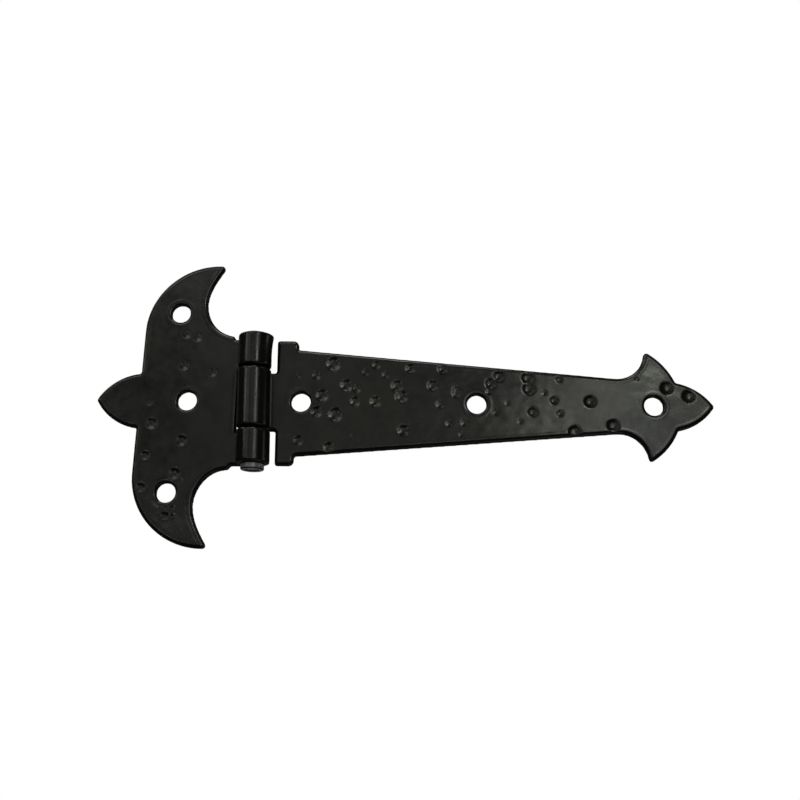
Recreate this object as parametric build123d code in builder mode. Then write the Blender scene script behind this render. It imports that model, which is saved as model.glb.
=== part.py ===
"""A decorative T hinge: a jamb leaf, a strap leaf and the pin that joins them.

Both leaves lie flat on the plane Z = 0 with the strap along +X. The pin runs along Y, and the origin is on
the mounting plane directly under the middle of the pin.
"""
import os

from build123d import *

# Driving dimensions, in millimetres
SHEET = 2.2  # thickness of both leaves, coating included
PIN_RADIUS = 3.175  # a quarter-inch pin
RUNNING_GAP = 0.05  # radial play between pin and knuckles
BORE_RADIUS = PIN_RADIUS + RUNNING_GAP
KNUCKLE_RADIUS = BORE_RADIUS + SHEET  # outside of a rolled knuckle
PIN_HEIGHT = KNUCKLE_RADIUS  # the knuckles roll up from the mounting plane

BARREL_LENGTH = 43.3
MIDDLE_KNUCKLE = 19.8
KNUCKLE_GAP = 0.9
BARREL_END = BARREL_LENGTH / 2
MIDDLE_END = MIDDLE_KNUCKLE / 2
OUTER_START = MIDDLE_END + KNUCKLE_GAP
OUTER_KNUCKLE = BARREL_END - OUTER_START
CURL_ANGLE = 300  # how far the sheet is rolled round the pin
KNUCKLE_ROUND = 0.4  # outside edges of the knuckles
FRONT_ROUND = 0.85  # front edges of the leaves, softened before coating
HOLE_ROUND = 0.35  # front edges of the screw holes

HOLE_RADIUS = 3.3
SAME_PLACE = 0.01  # how near two coordinates are to count as one

# Jamb leaf. Outline points are for the upper half, which is mirrored.
LOBE_TIP = (-53.0, 0)
LOBE_CROWN = (-47.2, 6.35)
LOBE_NOTCH = (-39.0, 9.3)
HORN_RADIUS = 24.2  # outer edge of the crescent horn
HORN_CENTRE = (LOBE_NOTCH[0] + HORN_RADIUS, 24.4)
HORN_SWEEP = 94.7
BAY_POINTS = ((-16.8, 41.7), (-18.6, 34.5), (-16.2, 27.4), (-8.4, 22.9))  # hollow inside the horn
BARREL_CORNER = (-7.5, BARREL_END)
KNUCKLE_NOTCH_X = -6.1  # back edge of the opening that the middle knuckle turns in
JAMB_PAIR_HOLE = (-27.4, 30.9)
JAMB_CENTRE_HOLE = (-22.9, 0)

# Strap leaf, upper half
EAR_NEAR_X = 6.8
EAR_FAR_X = 13.4
EAR_END = 21.4
SHOULDER_Y = 18.2
TAPER_END = (118.8, 9.35)
BARB_TIP = (129.1, 19.0)
BARB_CROWN = (134.9, 14.4)
FINIAL_NOTCH = (138.9, 8.1)
FINIAL_CROWN = (145.7, 5.4)
STRAP_TIP = (151.1, 0)
STRAP_FIRST_HOLE = 15.0
STRAP_HOLE_PITCH = 58.2
STRAP_HOLE_COUNT = 3

# Rounding of the leaves' corners, seen from the front
POINT_ROUND = 0.9  # horns, barbs and the two pointed tips
EAR_ROUND = 1.8
NOTCH_ROUND = 0.7
SLOT_ROUND = 0.6

# Pin
HEAD_RADIUS = 3.8
HEAD_LENGTH = 2.2
HEAD_ROUND = 0.5
DISH_RADIUS = 2.7
DISH_DEPTH = 0.8
DISH_BOWL = 0.6  # depth of the dish half-way out from its middle
BUTTON_RADIUS = 3.6  # the other end, peened over
BUTTON_LENGTH = 0.9
BUTTON_ROUND = 0.5

# Hammer marks: where each blow fell on the front face, grouped by the width of its dent
DENT_SLOPE = 0.09  # depth over width
STRAP_DENTS = {
    5.2: [(25.4, 13.3), (26.7, -4.2)],
    4.7: [(105, -9.1), (117.6, -6.8), (135.8, 6.2), (142.8, 3.4)],
    4.6: [(30, 5.9), (46.9, 5.8), (48.4, 2.2), (90.1, 9.2), (90.4, 5.4), (110.4, 1.3), (22.1, 2.4)],
    4.1: [(20.4, -3.3), (39.8, 0.4), (49.2, -9.3), (58.7, 6.2), (77.8, 7.1), (80.5, 9.6), (24.8, -15.4)],
    3.7: [(33.1, 0.4), (61.9, 12), (91.5, -2.5), (14.9, -13.1), (51.2, 12)],
    3.1: [(98.5, 1.5), (33.4, 4.8), (19.8, 9.2), (39.8, 13.1), (61.2, -0.3), (66.5, 4.6), (66.4, 3.4)],
    2.6: [(79.4, -2.7), (100.4, -2.9), (100.5, 8.8), (36.2, 10.5), (42.9, 9.7), (64.2, -6.8), (69.1, -6.4)],
    1.9: [(13.8, 9.2), (68.1, -10.4), (32.5, -11.6), (77.1, 4), (87.3, -5.8), (95.4, 4.2), (126.1, 9.4)],
    1.6: [(83.2, 0.3)],
}
JAMB_DENTS = {
    4.0: [(-34, -8), (-23.6, -13.6), (-25, -24.6)],
    3.3: [(-35.2, -18.8), (-35.6, -29.4), (-24.7, 12.2), (-15.1, 9.9)],
    3.0: [(-24.8, 23.3), (-20.9, 22.3), (-27, -38.5)],
    2.4: [(-27.5, -35.6)],
    1.9: [(-35.3, -1.1), (-22.8, -27.2), (-24.6, -36.2), (-24.5, -38.6)],
}


def knuckle(side, north_end, length):
    """A knuckle rolled from a sheet that arrives from -X (side 1) or from +X (side -1)."""
    with BuildPart() as rolled:
        with BuildSketch(Plane.XZ.offset(-north_end)):
            with BuildLine():
                outside = CenterArc((0, PIN_HEIGHT), KNUCKLE_RADIUS, -90, side * CURL_ANGLE)
                inside = CenterArc((0, PIN_HEIGHT), BORE_RADIUS, -90, side * CURL_ANGLE)
                Line(outside @ 0, inside @ 0)
                Line(outside @ 1, inside @ 1)
            make_face()
        extrude(amount=length)
        arcs = rolled.edges().filter_by(GeomType.CIRCLE)
        fillet(arcs.group_by(SortBy.RADIUS)[-1], KNUCKLE_ROUND)
    return rolled.part


def uprights(part, point):
    """The leaf's vertical edges at an outline point and at its mirror image."""
    x, y = point
    upright = part.edges().filter_by(Axis.Z)
    in_line = [e for e in upright if abs(e.center().X - x) < SAME_PLACE]
    return [e for e in in_line if abs(abs(e.center().Y) - abs(y)) < SAME_PLACE]


def round_front(part):
    """Softens the front face's outline, except where the sheet starts to roll, and its screw holes."""
    front = part.faces().sort_by(Axis.Z)[-1]
    fillet([e for e in front.outer_wire().edges() if abs(e.center().X) > SAME_PLACE], FRONT_ROUND)
    front = part.faces().filter_by(Plane.XY).sort_by(Axis.Z)[-1]
    fillet(front.inner_wires().edges(), HOLE_ROUND)


def hammer(dents):
    """Sinks each dent into the front face as the cap of a large ball."""
    for width, blows in dents.items():
        depth = DENT_SLOPE * width
        ball_radius = (width**2 / 4 + depth**2) / (2 * depth)
        with Locations(*[(x, y, SHEET - depth + ball_radius) for x, y in blows]):
            Sphere(ball_radius, mode=Mode.SUBTRACT)


outer_knuckles = [knuckle(1, north_end, OUTER_KNUCKLE) for north_end in (BARREL_END, -OUTER_START)]
middle_knuckle = knuckle(-1, MIDDLE_END, MIDDLE_KNUCKLE)

# Jamb leaf: crescent horns and a pointed lobe, with the two outer knuckles rolled from its free edge
with BuildPart() as jamb_leaf:
    with BuildSketch(Plane.XY):
        with BuildLine():
            ThreePointArc(LOBE_TIP, LOBE_CROWN, LOBE_NOTCH)
            Line(LOBE_NOTCH, (LOBE_NOTCH[0], HORN_CENTRE[1]))
            horn = CenterArc(HORN_CENTRE, HORN_RADIUS, 180, -HORN_SWEEP)
            Spline(horn @ 1, *BAY_POINTS)
            Polyline(
                BAY_POINTS[-1],
                BARREL_CORNER,
                (0, BARREL_END),
                (0, OUTER_START),
                (KNUCKLE_NOTCH_X, OUTER_START),
                (KNUCKLE_NOTCH_X, 0),
                LOBE_TIP,
            )
        make_face()
        mirror(about=Plane.XZ)
        with Locations(JAMB_CENTRE_HOLE, JAMB_PAIR_HOLE, (JAMB_PAIR_HOLE[0], -JAMB_PAIR_HOLE[1])):
            Circle(HOLE_RADIUS, mode=Mode.SUBTRACT)
    extrude(amount=SHEET)
    horn_tip = tuple(horn @ 1)[:2]
    fillet(uprights(jamb_leaf.part, LOBE_TIP) + uprights(jamb_leaf.part, horn_tip), POINT_ROUND)
    fillet(uprights(jamb_leaf.part, LOBE_NOTCH), NOTCH_ROUND)
    fillet(uprights(jamb_leaf.part, (KNUCKLE_NOTCH_X, OUTER_START)), SLOT_ROUND)
    round_front(jamb_leaf)
    add(outer_knuckles)
    hammer(JAMB_DENTS)

# Strap leaf: a long taper between two square ears and an arrow finial, with the middle knuckle
with BuildPart() as strap_leaf:
    with BuildSketch(Plane.XY):
        with BuildLine():
            Polyline(
                (0, 0),
                (0, MIDDLE_END),
                (EAR_NEAR_X, MIDDLE_END),
                (EAR_NEAR_X, EAR_END),
                (EAR_FAR_X, EAR_END),
                (EAR_FAR_X, SHOULDER_Y),
            )
            taper = Line((EAR_FAR_X, SHOULDER_Y), TAPER_END)
            TangentArc(TAPER_END, BARB_TIP, tangent=taper % 1)
            ThreePointArc(BARB_TIP, BARB_CROWN, FINIAL_NOTCH)
            ThreePointArc(FINIAL_NOTCH, FINIAL_CROWN, STRAP_TIP)
            Line(STRAP_TIP, (0, 0))
        make_face()
        mirror(about=Plane.XZ)
        middle_hole = STRAP_FIRST_HOLE + STRAP_HOLE_PITCH * (STRAP_HOLE_COUNT - 1) / 2
        with Locations((middle_hole, 0)):
            with GridLocations(STRAP_HOLE_PITCH, 0, STRAP_HOLE_COUNT, 1):
                Circle(HOLE_RADIUS, mode=Mode.SUBTRACT)
    extrude(amount=SHEET)
    fillet(uprights(strap_leaf.part, BARB_TIP) + uprights(strap_leaf.part, STRAP_TIP), POINT_ROUND)
    fillet(uprights(strap_leaf.part, (EAR_FAR_X, EAR_END)), EAR_ROUND)
    fillet(uprights(strap_leaf.part, (EAR_NEAR_X, EAR_END)), NOTCH_ROUND)
    fillet(uprights(strap_leaf.part, (EAR_FAR_X, SHOULDER_Y)), NOTCH_ROUND)
    fillet(uprights(strap_leaf.part, FINIAL_NOTCH), NOTCH_ROUND)
    fillet(uprights(strap_leaf.part, (EAR_NEAR_X, MIDDLE_END)), SLOT_ROUND)
    round_front(strap_leaf)
    add(middle_knuckle)
    hammer(STRAP_DENTS)

# Pin: a shank with a dished rivet head at the -Y end and a peened button at the +Y end
with BuildPart() as hinge_pin:
    with BuildSketch(Plane.YZ):
        with BuildLine():
            head_face = -BARREL_END - HEAD_LENGTH
            button_face = BARREL_END + BUTTON_LENGTH
            ThreePointArc(
                (head_face + DISH_DEPTH, PIN_HEIGHT),
                (head_face + DISH_BOWL, PIN_HEIGHT + DISH_RADIUS / 2),
                (head_face, PIN_HEIGHT + DISH_RADIUS),
            )
            FilletPolyline(
                (head_face, PIN_HEIGHT + DISH_RADIUS),
                (head_face, PIN_HEIGHT + HEAD_RADIUS),
                (-BARREL_END, PIN_HEIGHT + HEAD_RADIUS),
                radius=HEAD_ROUND,
            )
            Polyline(
                (-BARREL_END, PIN_HEIGHT + HEAD_RADIUS),
                (-BARREL_END, PIN_HEIGHT + PIN_RADIUS),
                (BARREL_END, PIN_HEIGHT + PIN_RADIUS),
                (BARREL_END, PIN_HEIGHT + BUTTON_RADIUS),
            )
            FilletPolyline(
                (BARREL_END, PIN_HEIGHT + BUTTON_RADIUS),
                (button_face, PIN_HEIGHT + BUTTON_RADIUS),
                (button_face, PIN_HEIGHT),
                radius=BUTTON_ROUND,
            )
            Line((button_face, PIN_HEIGHT), (head_face + DISH_DEPTH, PIN_HEIGHT))
        make_face()
    revolve(axis=Axis((0, 0, PIN_HEIGHT), (0, 1, 0)))

os.makedirs("parts", exist_ok=True)
for name, piece in (("jamb_leaf", jamb_leaf), ("strap_leaf", strap_leaf), ("hinge_pin", hinge_pin)):
    piece.part.label = name
    export_step(piece.part, f"parts/{name}.step")
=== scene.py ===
"""Looks of a decorative T hinge: hammered sheet steel under a black powder coat, laid open and flat.

Everything is in metres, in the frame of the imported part: both leaves lie flat on Z = 0, the strap
along +X and the pin along Y above the origin.
"""

import math

import bmesh
import bpy
import numpy as np
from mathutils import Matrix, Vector, kdtree, noise


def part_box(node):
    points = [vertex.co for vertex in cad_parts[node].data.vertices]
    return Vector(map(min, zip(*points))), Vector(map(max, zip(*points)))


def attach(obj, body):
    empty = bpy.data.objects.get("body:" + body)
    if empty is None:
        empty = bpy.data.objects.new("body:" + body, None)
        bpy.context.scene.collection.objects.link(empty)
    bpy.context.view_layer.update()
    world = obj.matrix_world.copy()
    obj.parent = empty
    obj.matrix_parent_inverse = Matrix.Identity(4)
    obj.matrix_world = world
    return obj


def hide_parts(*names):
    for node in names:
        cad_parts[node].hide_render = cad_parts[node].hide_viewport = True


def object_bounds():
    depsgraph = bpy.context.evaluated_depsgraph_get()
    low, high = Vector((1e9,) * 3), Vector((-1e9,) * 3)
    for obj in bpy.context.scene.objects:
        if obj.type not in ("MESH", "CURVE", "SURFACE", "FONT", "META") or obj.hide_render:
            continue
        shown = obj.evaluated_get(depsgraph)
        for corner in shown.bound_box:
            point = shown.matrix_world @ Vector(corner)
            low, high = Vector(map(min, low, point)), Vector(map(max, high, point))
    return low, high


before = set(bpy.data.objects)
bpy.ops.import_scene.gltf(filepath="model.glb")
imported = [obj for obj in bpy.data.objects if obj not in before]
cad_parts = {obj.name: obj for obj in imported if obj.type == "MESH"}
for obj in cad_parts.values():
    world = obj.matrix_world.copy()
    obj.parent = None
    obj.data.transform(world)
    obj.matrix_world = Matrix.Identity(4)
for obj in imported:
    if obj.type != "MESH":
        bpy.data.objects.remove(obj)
cad_low, cad_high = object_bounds()

MM = 0.001
WELD = 0.001 * MM  # vertices closer than this are one

# The pin: a dished rivet head at its low-Y end, a shank and a peened button
SHANK_RADIUS = 3.175 * MM
HEAD_ROUND = 0.45 * MM
DISH_RADIUS, DISH_DEPTH, DISH_CURVE = 2.7 * MM, 0.8 * MM, 2.2
BUTTON_LENGTH, BUTTON_RADIUS, BUTTON_ROUND = 0.9 * MM, 3.6 * MM, 0.5 * MM
RUBBED_FROM = 0.3 * MM  # how far out of the knuckle the bare steel starts
PIN_SIDES, ROUND_STEPS, DISH_STEPS, RUN_STEPS = 128, 6, 8, 6

# Sizes read from the frame
pin_low, pin_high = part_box("hinge_pin")
axis_height = (pin_low.z + pin_high.z) / 2
barrel_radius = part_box("strap_leaf")[1].z - axis_height
barrel_end = pin_high.y - BUTTON_LENGTH

# The coated sheet
SHEET = 2.2 * MM
GRAIN = 0.32 * MM  # mesh size of the leaves
COAT_PASSES, COAT_FLOW = 3, 0.5  # how far the coat has flowed over corners and dent rims
COAT = 0.08 * MM  # what the coat adds all over
BEAD = 0.05 * MM  # height of the low bead the coat is drawn into along every edge
BEAD_INSET, BEAD_WIDTH = 1.3 * MM, 0.4 * MM
EDGE_LEAN, FACE_LEAN = 0.3, 0.9  # a normal's Z is under the first on an edge, over the second on a face

# Unevenness of the sheet: length and depth of its waves, and how soon they start beside the barrel
WAVES = ((17 * MM, 0.06 * MM), (5 * MM, 0.04 * MM), (2.4 * MM, 0.018 * MM))
WAVES_RISE = 10 * MM
JAMB_SEED, STRAP_SEED = 3.0, 11.0

# The roll of the knuckles: how far it runs off square, from where the edge of the jamb leaf's notch
# follows it, and the north end's opened mouth
ROLL_SKEW = 0.035
NOTCH_HALF, NOTCH_FADE = 8.5 * MM, 3.5 * MM
MOUTH_START, MOUTH_FLARE = 14 * MM, 0.7 * MM

# The coat's colours: its own, a paler patch and thin on an edge; then its shine cool, warm and dull
COAT_BLACK, COAT_PATCH = (0.0030, 0.0031, 0.0026), (0.0040, 0.0041, 0.0032)
COAT_THIN = (0.0075, 0.0075, 0.0068)
SHINE_COOL, SHINE_WARM, SHINE_DULL = (0.96, 1.0, 0.91), (0.96, 1.0, 0.84), (0.77, 0.80, 0.73)
SHEEN = (0.17, 0.26)  # least and greatest roughness of the coat

# Sizes of the coat's markings, and the depths of the two finest
PATCH, EDGE_WEAR, SHINE_CAST, DULL_PATCH, SHEEN_PATCH = 9 * MM, 1.5 * MM, 26 * MM, 6 * MM, 4 * MM
PEEL, PEEL_DEPTH = 0.9 * MM, 0.003 * MM
SPECKLE, SPECKLE_DEPTH = 0.22 * MM, 0.0006 * MM
CORNER_POINTINESS = (0.505, 0.56)  # where the coat starts to thin, and where it is thinnest

# The pin's paint and the steel under it, with the roughness of each
PIN_BLACK, BARE_STEEL = (0.004, 0.004, 0.004), (0.24, 0.24, 0.23)
PIN_ROUGHNESS, STEEL_METALLIC = (0.24, 0.38), 0.5
SCRATCH, RIPPLE, RIPPLE_DEPTH = 0.7 * MM, 0.8 * MM, 0.01 * MM


# ---------------------------------------------------------------- materials

def node_tree(material):
    """A new material's node tree, emptied, and the Principled shader joined to its output."""
    material.use_nodes = True
    tree = material.node_tree
    tree.nodes.clear()
    shader = tree.nodes.new("ShaderNodeBsdfPrincipled")
    output = tree.nodes.new("ShaderNodeOutputMaterial")
    tree.links.new(shader.outputs["BSDF"], output.inputs["Surface"])
    return tree, shader


def cloud(tree, size, detail=2.0, roughness=0.5):
    """A noise over the piece whose blobs are about `size` metres across."""
    place = tree.nodes.new("ShaderNodeTexCoord")
    texture = tree.nodes.new("ShaderNodeTexNoise")
    texture.inputs["Scale"].default_value = 1 / size
    texture.inputs["Detail"].default_value = detail
    texture.inputs["Roughness"].default_value = roughness
    tree.links.new(place.outputs["Object"], texture.inputs["Vector"])
    return texture.outputs["Fac"]


def spread(tree, value, low, high, to_low=0.0, to_high=1.0):
    """Maps low..high of a value to to_low..to_high, clamped."""
    node = tree.nodes.new("ShaderNodeMapRange")
    node.inputs["From Min"].default_value = low
    node.inputs["From Max"].default_value = high
    node.inputs["To Min"].default_value = to_low
    node.inputs["To Max"].default_value = to_high
    tree.links.new(value, node.inputs["Value"])
    return node.outputs["Result"]


def blend_colour(tree, factor, first, second):
    """first where factor is 0 and second where it is 1; each is a colour or a socket."""
    node = tree.nodes.new("ShaderNodeMix")
    node.data_type = "RGBA"
    tree.links.new(factor, node.inputs["Factor"])
    for socket, colour in ((node.inputs["A"], first), (node.inputs["B"], second)):
        if isinstance(colour, tuple):
            socket.default_value = (*colour, 1)
        else:
            tree.links.new(colour, socket)
    return node.outputs["Result"]


def arithmetic(tree, operation, first, second):
    """One maths node; each input is a number or a socket."""
    node = tree.nodes.new("ShaderNodeMath")
    node.operation = operation
    for socket, value in zip(node.inputs, (first, second)):
        if isinstance(value, (int, float)):
            socket.default_value = value
        else:
            tree.links.new(value, socket)
    return node.outputs["Value"]


def relief(tree, height, depth, under=None):
    """A bump from a 0..1 height, `depth` metres deep, over an earlier bump if one is given."""
    node = tree.nodes.new("ShaderNodeBump")
    node.inputs["Distance"].default_value = depth
    tree.links.new(height, node.inputs["Height"])
    if under is not None:
        tree.links.new(under, node.inputs["Normal"])
    return node.outputs["Normal"]


def powder_coat():
    """Satin black powder coat: orange peel, fine speckle, dull and shiny patches, thin on sharp edges."""
    material = bpy.data.materials.new("black_powder_coat")
    tree, shader = node_tree(material)

    patch = spread(tree, cloud(tree, PATCH, 3), 0.35, 0.7)
    colour = blend_colour(tree, patch, COAT_BLACK, COAT_PATCH)
    pointiness = tree.nodes.new("ShaderNodeNewGeometry").outputs["Pointiness"]
    edge = spread(tree, pointiness, *CORNER_POINTINESS)
    worn = arithmetic(tree, "MULTIPLY", edge, spread(tree, cloud(tree, EDGE_WEAR, 3), 0.4, 0.65))
    tree.links.new(blend_colour(tree, worn, colour, COAT_THIN), shader.inputs["Base Color"])

    warmth = spread(tree, cloud(tree, SHINE_CAST, 2), 0.4, 0.6)
    shine = blend_colour(tree, warmth, SHINE_COOL, SHINE_WARM)
    dull = spread(tree, cloud(tree, DULL_PATCH, 4, 0.65), 0.42, 0.66)
    tree.links.new(blend_colour(tree, dull, shine, SHINE_DULL), shader.inputs["Specular Tint"])

    sheen = spread(tree, cloud(tree, SHEEN_PATCH, 4, 0.6), 0.3, 0.7, *SHEEN)
    tree.links.new(sheen, shader.inputs["Roughness"])

    peel = relief(tree, cloud(tree, PEEL, 1.5), PEEL_DEPTH)
    speckle = relief(tree, cloud(tree, SPECKLE, 2), SPECKLE_DEPTH, under=peel)
    tree.links.new(speckle, shader.inputs["Normal"])
    return material


def pin_black():
    """Gloss black on the pin, rubbed to bare steel where the mesh says it is worn; the black left on the
    head's rounded rim and dish sides is painted shade.
    """
    material = bpy.data.materials.new("black_pin")
    tree, shader = node_tree(material)
    mark = tree.nodes.new("ShaderNodeAttribute")
    mark.attribute_name = "worn"
    scratch = spread(tree, cloud(tree, SCRATCH, 3, 0.6), 0.3, 0.42)
    bare = arithmetic(tree, "MULTIPLY", mark.outputs["Fac"], scratch)
    tree.links.new(blend_colour(tree, bare, PIN_BLACK, BARE_STEEL), shader.inputs["Base Color"])
    tree.links.new(spread(tree, bare, 0, 1, 0, STEEL_METALLIC), shader.inputs["Metallic"])
    tree.links.new(spread(tree, bare, 0, 1, *PIN_ROUGHNESS), shader.inputs["Roughness"])
    tree.links.new(relief(tree, cloud(tree, RIPPLE, 3), RIPPLE_DEPTH), shader.inputs["Normal"])
    return material


# ---------------------------------------------------------------- pieces

def add_piece(name, mesh, body, node, material):
    """Puts a finished mesh in the scene as the piece that stands for a CAD node."""
    mesh.name = name
    mesh.materials.clear()
    mesh.materials.append(material)
    mesh.polygons.foreach_set("use_smooth", np.ones(len(mesh.polygons), bool))
    piece = bpy.data.objects.new(name, mesh)
    bpy.context.scene.collection.objects.link(piece)
    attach(piece, body)
    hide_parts(node)
    return piece


def coated_mesh(node):
    """An even, fine mesh of a CAD node, with its corners softened as the coat softens them."""
    source = bpy.data.objects.new("source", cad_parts[node].data.copy())
    bpy.context.scene.collection.objects.link(source)
    welded = bmesh.new()
    welded.from_mesh(source.data)
    bmesh.ops.remove_doubles(welded, verts=welded.verts, dist=WELD)
    welded.to_mesh(source.data)
    welded.free()
    even = source.modifiers.new("even", "REMESH")
    even.mode = "VOXEL"
    even.voxel_size = GRAIN
    flow = source.modifiers.new("flow", "SMOOTH")
    flow.factor = COAT_FLOW
    flow.iterations = COAT_PASSES
    evaluated = source.evaluated_get(bpy.context.evaluated_depsgraph_get())
    mesh = bpy.data.meshes.new_from_object(evaluated)
    bpy.data.objects.remove(source)
    return mesh


def points_of(mesh):
    """The mesh's vertices as an array of rows."""
    flat = np.empty(len(mesh.vertices) * 3, np.float32)
    mesh.vertices.foreach_get("co", flat)
    return flat.reshape(-1, 3).astype(float)


def normals_of(mesh):
    """The mesh's vertex normals as an array of rows."""
    flat = np.empty(len(mesh.vertices) * 3, np.float32)
    mesh.vertex_normals.foreach_get("vector", flat)
    return flat.reshape(-1, 3).astype(float)


def unevenness(points, seed):
    """How far hammering has left each point of the sheet off its plane; nothing at the barrel."""
    away = np.clip((np.abs(points[:, 0]) - barrel_radius) / WAVES_RISE, 0, 1)
    total = np.zeros(len(points))
    for length, depth in WAVES:
        shift = Vector((seed, length / MM, 0))
        wave = [noise.noise(Vector((x, y, 0)) / length + shift) for x, y in points[:, :2]]
        total += depth * np.array(wave)
    return total * away


def edge_bead(points, normals):
    """How far the coat stands up along the sheet's outline and round its holes, on the front face only."""
    upright = np.nonzero((np.abs(normals[:, 2]) < EDGE_LEAN) & (points[:, 2] < SHEET))[0]
    front = (normals[:, 2] > FACE_LEAN) & (points[:, 2] < SHEET + COAT + WAVES[0][1])
    edges = kdtree.KDTree(len(upright))
    for i in upright:
        edges.insert((points[i, 0], points[i, 1], 0), int(i))
    edges.balance()
    height = np.zeros(len(points))
    for i in np.nonzero(front)[0]:
        inset = edges.find((points[i, 0], points[i, 1], 0))[2]
        height[i] = BEAD * math.exp(-(((inset - BEAD_INSET) / BEAD_WIDTH) ** 2))
    return height


def askew(points):
    """Slides the barrel's ends sideways, as the sheet was rolled a little off square.

    Most of the edge of the notch behind the middle knuckle stays put, to leave the strap room to swing.
    """
    x, y = points[:, 0], points[:, 1]
    barrel = np.clip(2 - np.abs(x) / barrel_radius, 0, 1)
    beside_notch = np.clip((np.abs(y) - NOTCH_HALF) / NOTCH_FADE, 0, 1)
    barrel = np.where(x < -barrel_radius - 2 * COAT, barrel * beside_notch, barrel)
    points[:, 0] -= ROLL_SKEW * y * barrel


def open_mouth(points):
    """Spreads the outer knuckle's north end, most on the side where the roll closes."""
    x, height = points[:, 0], points[:, 2] - axis_height
    radius = np.hypot(x, height)
    along = np.clip((points[:, 1] - MOUTH_START) / (barrel_end - MOUTH_START), 0, 1)
    above = np.clip(1 + height / radius, 0, 1)
    push = MOUTH_FLARE * along**2 * above * (1 + x / radius) / 2 * (np.abs(x) <= barrel_radius + COAT)
    points[:, 0] += push * x / radius
    points[:, 2] += push * height / radius


def leaf(node, name, body, seed, material):
    """One leaf: the CAD shape, evenly meshed, with the sheet's slow unevenness and the coat's edge bead."""
    mesh = coated_mesh(node)
    normals = normals_of(mesh)
    points = points_of(mesh) + COAT * normals
    points[:, 2] += edge_bead(points, normals) + unevenness(points, seed)
    if body == "jamb":
        open_mouth(points)
    askew(points)
    mesh.vertices.foreach_set("co", points.astype(np.float32).ravel())
    mesh.update()
    return add_piece(name, mesh, body, node, material)


def arc(centre, radius, start, end, steps):
    """Points along a circular arc in the (y, r) plane, angles in degrees."""
    angles = [math.radians(start + (end - start) * i / steps) for i in range(steps + 1)]
    return [(centre[0] + radius * math.cos(a), centre[1] + radius * math.sin(a)) for a in angles]


def pin_profile():
    """The pin's outline as (y, r) points, from the middle of its dish to the middle of its button."""
    head, button = pin_low.y, pin_high.y
    head_radius = (pin_high.z - pin_low.z) / 2
    profile = []
    for i in range(DISH_STEPS + 1):
        share = i / DISH_STEPS
        profile.append((head + DISH_DEPTH * (1 - share**DISH_CURVE), DISH_RADIUS * share))
    profile += arc((head + HEAD_ROUND, head_radius - HEAD_ROUND), HEAD_ROUND, 180, 90, ROUND_STEPS)
    side = head + HEAD_ROUND
    run = -barrel_end - side
    profile += [(side + run * i / RUN_STEPS, head_radius) for i in range(1, RUN_STEPS + 1)]
    profile.append((-barrel_end, SHANK_RADIUS))
    profile += [(barrel_end * (i / RUN_STEPS - 1), SHANK_RADIUS) for i in range(1, 2 * RUN_STEPS)]
    profile += [(barrel_end, SHANK_RADIUS), (barrel_end, BUTTON_RADIUS)]
    profile += arc((button - BUTTON_ROUND, BUTTON_RADIUS - BUTTON_ROUND), BUTTON_ROUND, 90, 0, ROUND_STEPS)
    profile.append((button, 0.0))
    return profile


def is_bare_except_painted_shade(y):
    """True round the head's side, at its foremost edge and in the bottom of its dish.

    The rounded rim and the sides of the dish keep black paint as painted shade for their rounding, and all
    that is further in keeps its paint.
    """
    just_inside_face = pin_low.y < y < pin_low.y + HEAD_ROUND
    return y < -barrel_end - RUBBED_FROM and not just_inside_face


def pin(material):
    """The pin, turned about its axis and leaning with the barrel."""
    turned = bmesh.new()
    worn_and_shade_layer = turned.verts.layers.float.new("worn")
    rings = []
    for y, r in pin_profile():
        ring = []
        for k in range(PIN_SIDES):
            a = 2 * math.pi * k / PIN_SIDES
            vertex = turned.verts.new((r * math.cos(a) - ROLL_SKEW * y, y, axis_height + r * math.sin(a)))
            # 1 where rubbed to bare steel; 0 on the head's rounded rim and the dish's sides, whose black is
            # painted shade
            vertex[worn_and_shade_layer] = float(is_bare_except_painted_shade(y))
            ring.append(vertex)
        rings.append(ring)
    for ring, following in zip(rings, rings[1:]):
        for k in range(PIN_SIDES):
            k2 = (k + 1) % PIN_SIDES
            turned.faces.new((ring[k], ring[k2], following[k2], following[k]))
    bmesh.ops.remove_doubles(turned, verts=turned.verts, dist=WELD)
    bmesh.ops.recalc_face_normals(turned, faces=turned.faces)
    mesh = bpy.data.meshes.new("hinge_pin")
    turned.to_mesh(mesh)
    turned.free()
    return add_piece("pin", mesh, "jamb", "hinge_pin", material)


# ---------------------------------------------------------------- studio

WHITE, ROOM_DARK = (1, 1, 1, 1), (0.03, 0.03, 0.03, 1)
SWING_ROOM = 175 * MM  # how far the sweep lies under the hinge
SWEEP_REACH = 30.0

EYE = (54.2 * MM, -82.3 * MM, 294.5 * MM)
EYE_TURN = (15.914, 1.198, 0.659)  # degrees about X, Y and Z, taken in the order Z, Y, X
LENS, SENSOR = 41.39, 36
NEAR, FAR = 0.01, 100

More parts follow.
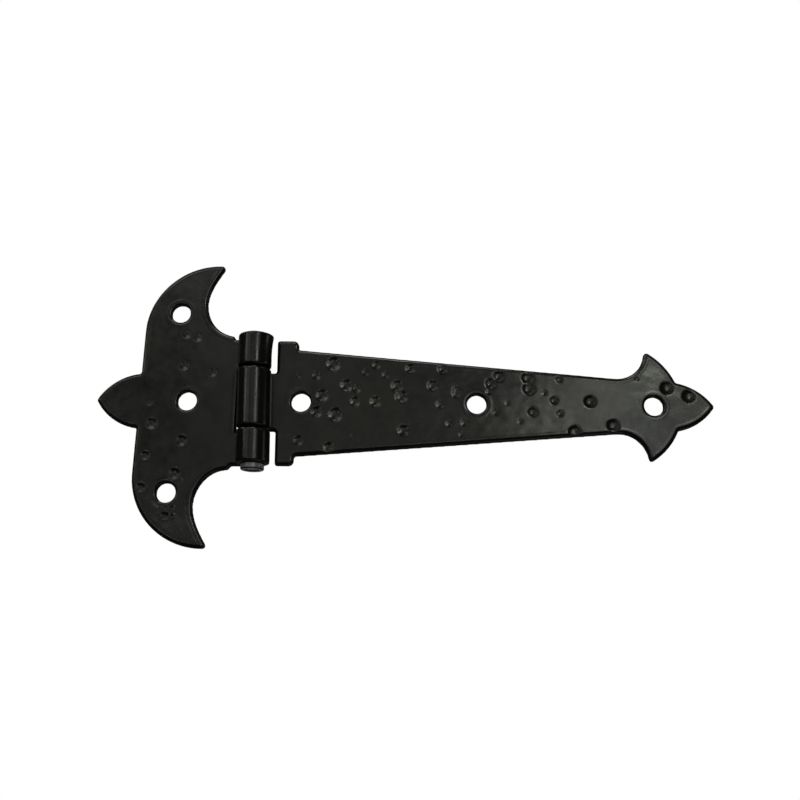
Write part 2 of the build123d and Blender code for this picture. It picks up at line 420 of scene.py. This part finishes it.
LIT_POINT = Vector((50 * MM, 0, 0))
LAMP_DISTANCE = 1.0
SOFTBOXES = (  # name, direction from the hinge, diameter, radiance
    ("key", (0.32, 0.38, 0.87), 0.13, 11.5),
    ("key_glow", (0.215, 0.235, 0.948), 0.13, 3.4),
    ("key_right", (0.42, 0.24, 0.88), 0.16, 1.4),
    ("top_right", (0.30, 0.10, 0.95), 0.18, 2.7),
    ("top", (0.03, 0.00, 1.00), 0.14, 2.0),
    ("ceiling", (-0.10, 0.20, 0.97), 0.50, 0.37),
    ("back_high", (-0.18, 0.50, 0.85), 0.16, 1.3),
    ("left_high", (-0.28, 0.39, 0.88), 0.14, 0.6),
    ("top_left", (-0.38, 0.00, 0.92), 0.14, 2.5),
    ("left", (-0.57, 0.24, 0.78), 0.36, 0.7),
    ("back_left", (-0.41, 0.59, 0.70), 0.36, 2.0),
    ("back", (-0.02, 0.81, 0.58), 0.36, 4.4),
    ("low_back", (-0.18, 0.97, 0.16), 0.36, 0.5),
    ("low_left", (-0.72, 0.66, 0.10), 0.36, 2.2),
    ("low_right", (0.97, 0.10, 0.00), 0.36, 0.9),
    ("low_back_right", (0.66, 0.70, 0.26), 0.50, 0.4),
    ("side_left", (-0.78, 0.27, 0.56), 0.20, 2.2),
    ("low_front", (0.45, -0.85, 0.25), 0.80, 0.3),
)


def softbox(name, toward, size, radiance):
    """A round soft light seen from the hinge in the direction `toward`, with a given brightness."""
    area = math.pi * size**2 / 4
    light = bpy.data.lights.new(name, "AREA")
    light.shape = "DISK"
    light.size = size
    light.energy = radiance * math.pi * area
    lamp = bpy.data.objects.new(name, light)
    bpy.context.scene.collection.objects.link(lamp)
    direction = Vector(toward).normalized()
    lamp.location = LIT_POINT + direction * LAMP_DISTANCE
    lamp.rotation_euler = direction.to_track_quat("Z", "Y").to_euler()
    lamp.visible_camera = False
    return lamp


def studio():
    """A dark room that the camera sees as white, with softboxes all round."""
    world = bpy.data.worlds.new("room")
    bpy.context.scene.world = world
    world.use_nodes = True
    tree = world.node_tree
    tree.nodes.clear()
    seen, unseen = tree.nodes.new("ShaderNodeBackground"), tree.nodes.new("ShaderNodeBackground")
    seen.inputs["Color"].default_value = WHITE
    unseen.inputs["Color"].default_value = ROOM_DARK
    path, either = tree.nodes.new("ShaderNodeLightPath"), tree.nodes.new("ShaderNodeMixShader")
    output = tree.nodes.new("ShaderNodeOutputWorld")
    tree.links.new(path.outputs["Is Camera Ray"], either.inputs["Fac"])
    tree.links.new(unseen.outputs["Background"], either.inputs[1])
    tree.links.new(seen.outputs["Background"], either.inputs[2])
    tree.links.new(either.outputs["Shader"], output.inputs["Surface"])

    for name, toward, size, radiance in SOFTBOXES:
        softbox(name, toward, size, radiance)


def floor():
    """The plain white sweep under the hinge, low enough for the strap to swing down."""
    depth = cad_low.z - SWING_ROOM
    mesh = bpy.data.meshes.new("floor")
    corners = [(SWEEP_REACH * x, SWEEP_REACH * y, depth) for x, y in ((-1, -1), (1, -1), (1, 1), (-1, 1))]
    mesh.from_pydata(corners, [], [(0, 1, 2, 3)])
    material = bpy.data.materials.new("sweep")
    material.use_nodes = True
    tree = material.node_tree
    tree.nodes.clear()
    glow, output = tree.nodes.new("ShaderNodeEmission"), tree.nodes.new("ShaderNodeOutputMaterial")
    glow.inputs["Color"].default_value = WHITE
    tree.links.new(glow.outputs["Emission"], output.inputs["Surface"])
    mesh.materials.append(material)
    sweep = bpy.data.objects.new("floor", mesh)
    bpy.context.scene.collection.objects.link(sweep)
    sweep.visible_glossy = sweep.visible_shadow = False


def camera():
    """Looks down on the hinge from in front, a little off the vertical."""
    data = bpy.data.cameras.new("camera")
    data.sensor_width = SENSOR
    data.lens = LENS
    data.clip_start, data.clip_end = NEAR, FAR
    eye = bpy.data.objects.new("camera", data)
    bpy.context.scene.collection.objects.link(eye)
    eye.location = EYE
    eye.rotation_mode = "ZYX"
    eye.rotation_euler = [math.radians(angle) for angle in EYE_TURN]
    bpy.context.scene.camera = eye


coat = powder_coat()
leaf("jamb_leaf", "jamb_plate", "jamb", JAMB_SEED, coat)
leaf("strap_leaf", "strap_plate", "strap", STRAP_SEED, coat)
pin(pin_black())
studio()
floor()
camera()
bpy.context.scene.view_settings.view_transform = "Standard"
